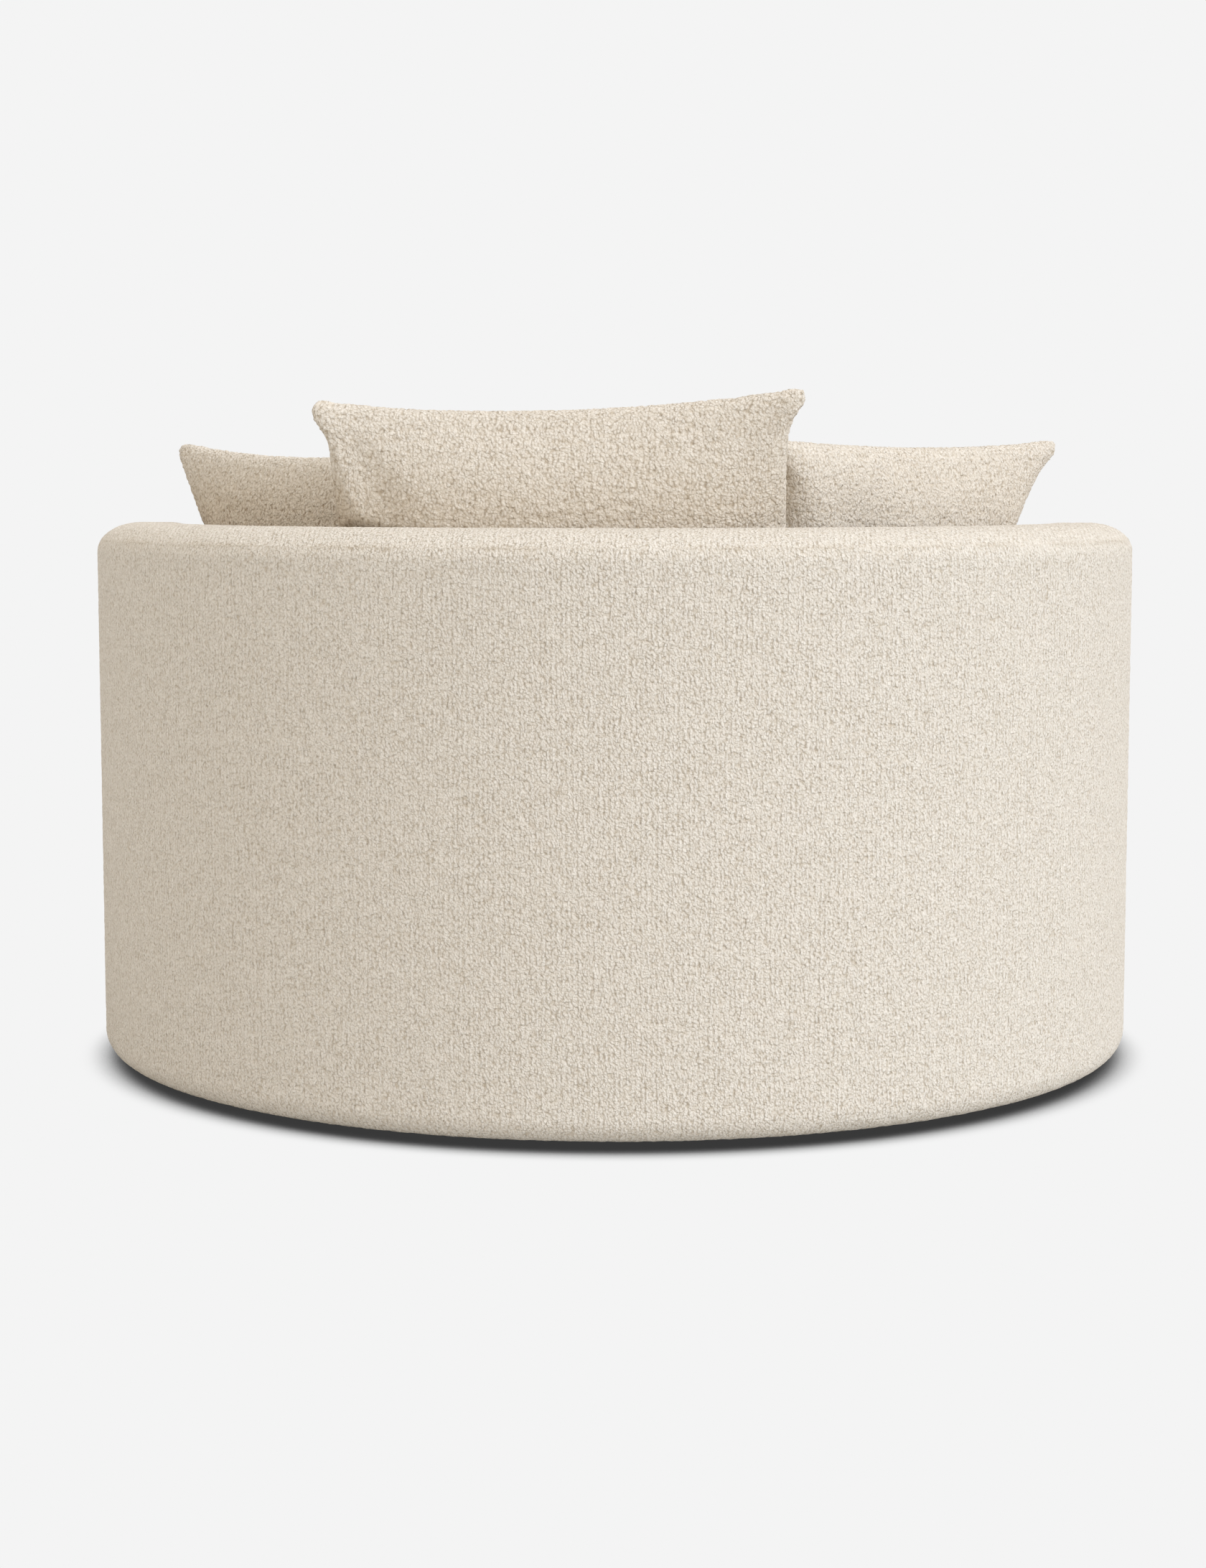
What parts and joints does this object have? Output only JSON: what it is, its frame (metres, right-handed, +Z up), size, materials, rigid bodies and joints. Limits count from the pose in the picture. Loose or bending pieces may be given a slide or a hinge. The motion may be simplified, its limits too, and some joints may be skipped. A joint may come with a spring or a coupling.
{
  "type": "cuddle chair",
  "caption": "Round drum-shaped cuddle chair with a padded wrap-around back, a deep loose seat cushion and loose back pillows, all covered in nubby cream boucle.",
  "frame": {"origin": "on the floor, under the vertical axis of the round base", "axes": "+Z up, -Y to the front, the way the sitter faces, +X to the sitter's left"},
  "size_m": [1.524, 1.524, 0.9579],
  "materials": {
    "boucle": "nubby looped bouclé, ivory with tan fibres, matt",
    "foam": "open-cell cushion foam",
    "wadding": "polyester wadding",
    "plywood": "sawn plywood",
    "lumber": "planed softwood",
    "hardboard": "bendable hardboard",
    "webbing": "woven elastic webbing",
    "cambric": "black non-woven dust cover",
    "glide": "moulded nylon",
    "lining": "plain woven cotton",
    "zip": "coil zip and puller"
  },
  "bodies": {
    "chair_body": {"base_board": "plywood", "seat_board": "plywood", "base_post_1": "lumber", "base_post_2": "lumber", "base_post_3": "lumber", "base_post_4": "lumber", "base_post_5": "lumber", "base_post_6": "lumber", "base_post_7": "lumber", "back_stud_1": "lumber", "back_stud_2": "lumber", "back_stud_3": "lumber", "back_stud_4": "lumber", "back_stud_5": "lumber", "top_rail": "plywood", "rear_cross_rail": "lumber", "front_cross_rail": "lumber", "outer_back_board": "hardboard", "front_board": "hardboard", "inner_back_board": "hardboard", "seat_webbing": "webbing", "deck_pad": "wadding", "platform_cloth": "lining", "top_roll_foam": "foam", "left_arm_end_foam": "foam", "right_arm_end_foam": "foam", "inner_back_foam": "foam", "outer_back_wadding": "wadding", "front_wadding": "wadding", "top_band": "boucle", "left_arm_front_band": "boucle", "right_arm_front_band": "boucle", "inner_back_cover": "boucle", "outer_back_cover": "boucle", "front_cover": "boucle", "dust_cover": "cambric", "glide_1": "glide", "glide_2": "glide", "glide_3": "glide", "glide_4": "glide", "glide_5": "glide", "glide_6": "glide"},
    "seat_cushion": {"seat_cushion_cover": "boucle", "seat_cushion_core": "foam", "seat_zip": "zip"},
    "seat_slider": {"seat_zip_slider": "zip"},
    "centre_pillow": {"centre_pillow_cover": "boucle", "centre_pillow_insert": "lining", "centre_pillow_zip": "zip"},
    "centre_slider": {"centre_pillow_zip_slider": "zip"},
    "left_pillow": {"left_pillow_cover": "boucle", "left_pillow_insert": "lining", "left_pillow_zip": "zip"},
    "left_slider": {"left_pillow_zip_slider": "zip"},
    "right_pillow": {"right_pillow_cover": "boucle", "right_pillow_insert": "lining", "right_pillow_zip": "zip"},
    "right_slider": {"right_pillow_zip_slider": "zip"}
  },
  "joints": [
    {"name": "seat_cushion_lift", "type": "slide", "parent": "chair_body", "child": "seat_cushion", "axis": [0, 0, 1], "range_m": [0, 0.5]},
    {"name": "seat_zip_slide", "type": "hinge", "parent": "seat_cushion", "child": "seat_slider", "pos_m": [0, 0, 0.3447], "axis": [0, 0, 1], "range_deg": [0, 85]},
    {"name": "centre_pillow_lift", "type": "slide", "parent": "seat_cushion", "child": "centre_pillow", "axis": [0, 0, 1], "range_m": [0, 0.45]},
    {"name": "centre_zip_slide", "type": "slide", "parent": "centre_pillow", "child": "centre_slider", "axis": [-1, 0, 0], "range_m": [0, 0.31]},
    {"name": "left_pillow_lift", "type": "slide", "parent": "centre_pillow", "child": "left_pillow", "axis": [0, -0.5, 0.866], "range_m": [0, 0.45]},
    {"name": "left_zip_slide", "type": "slide", "parent": "left_pillow", "child": "left_slider", "axis": [-0.6947, 0.7193, 0], "range_m": [0, 0.31]},
    {"name": "right_pillow_lift", "type": "slide", "parent": "centre_pillow", "child": "right_pillow", "axis": [0, -0.5, 0.866], "range_m": [0, 0.45]},
    {"name": "right_zip_slide", "type": "slide", "parent": "right_pillow", "child": "right_slider", "axis": [-0.6428, -0.766, 0], "range_m": [0, 0.31]}
  ]
}
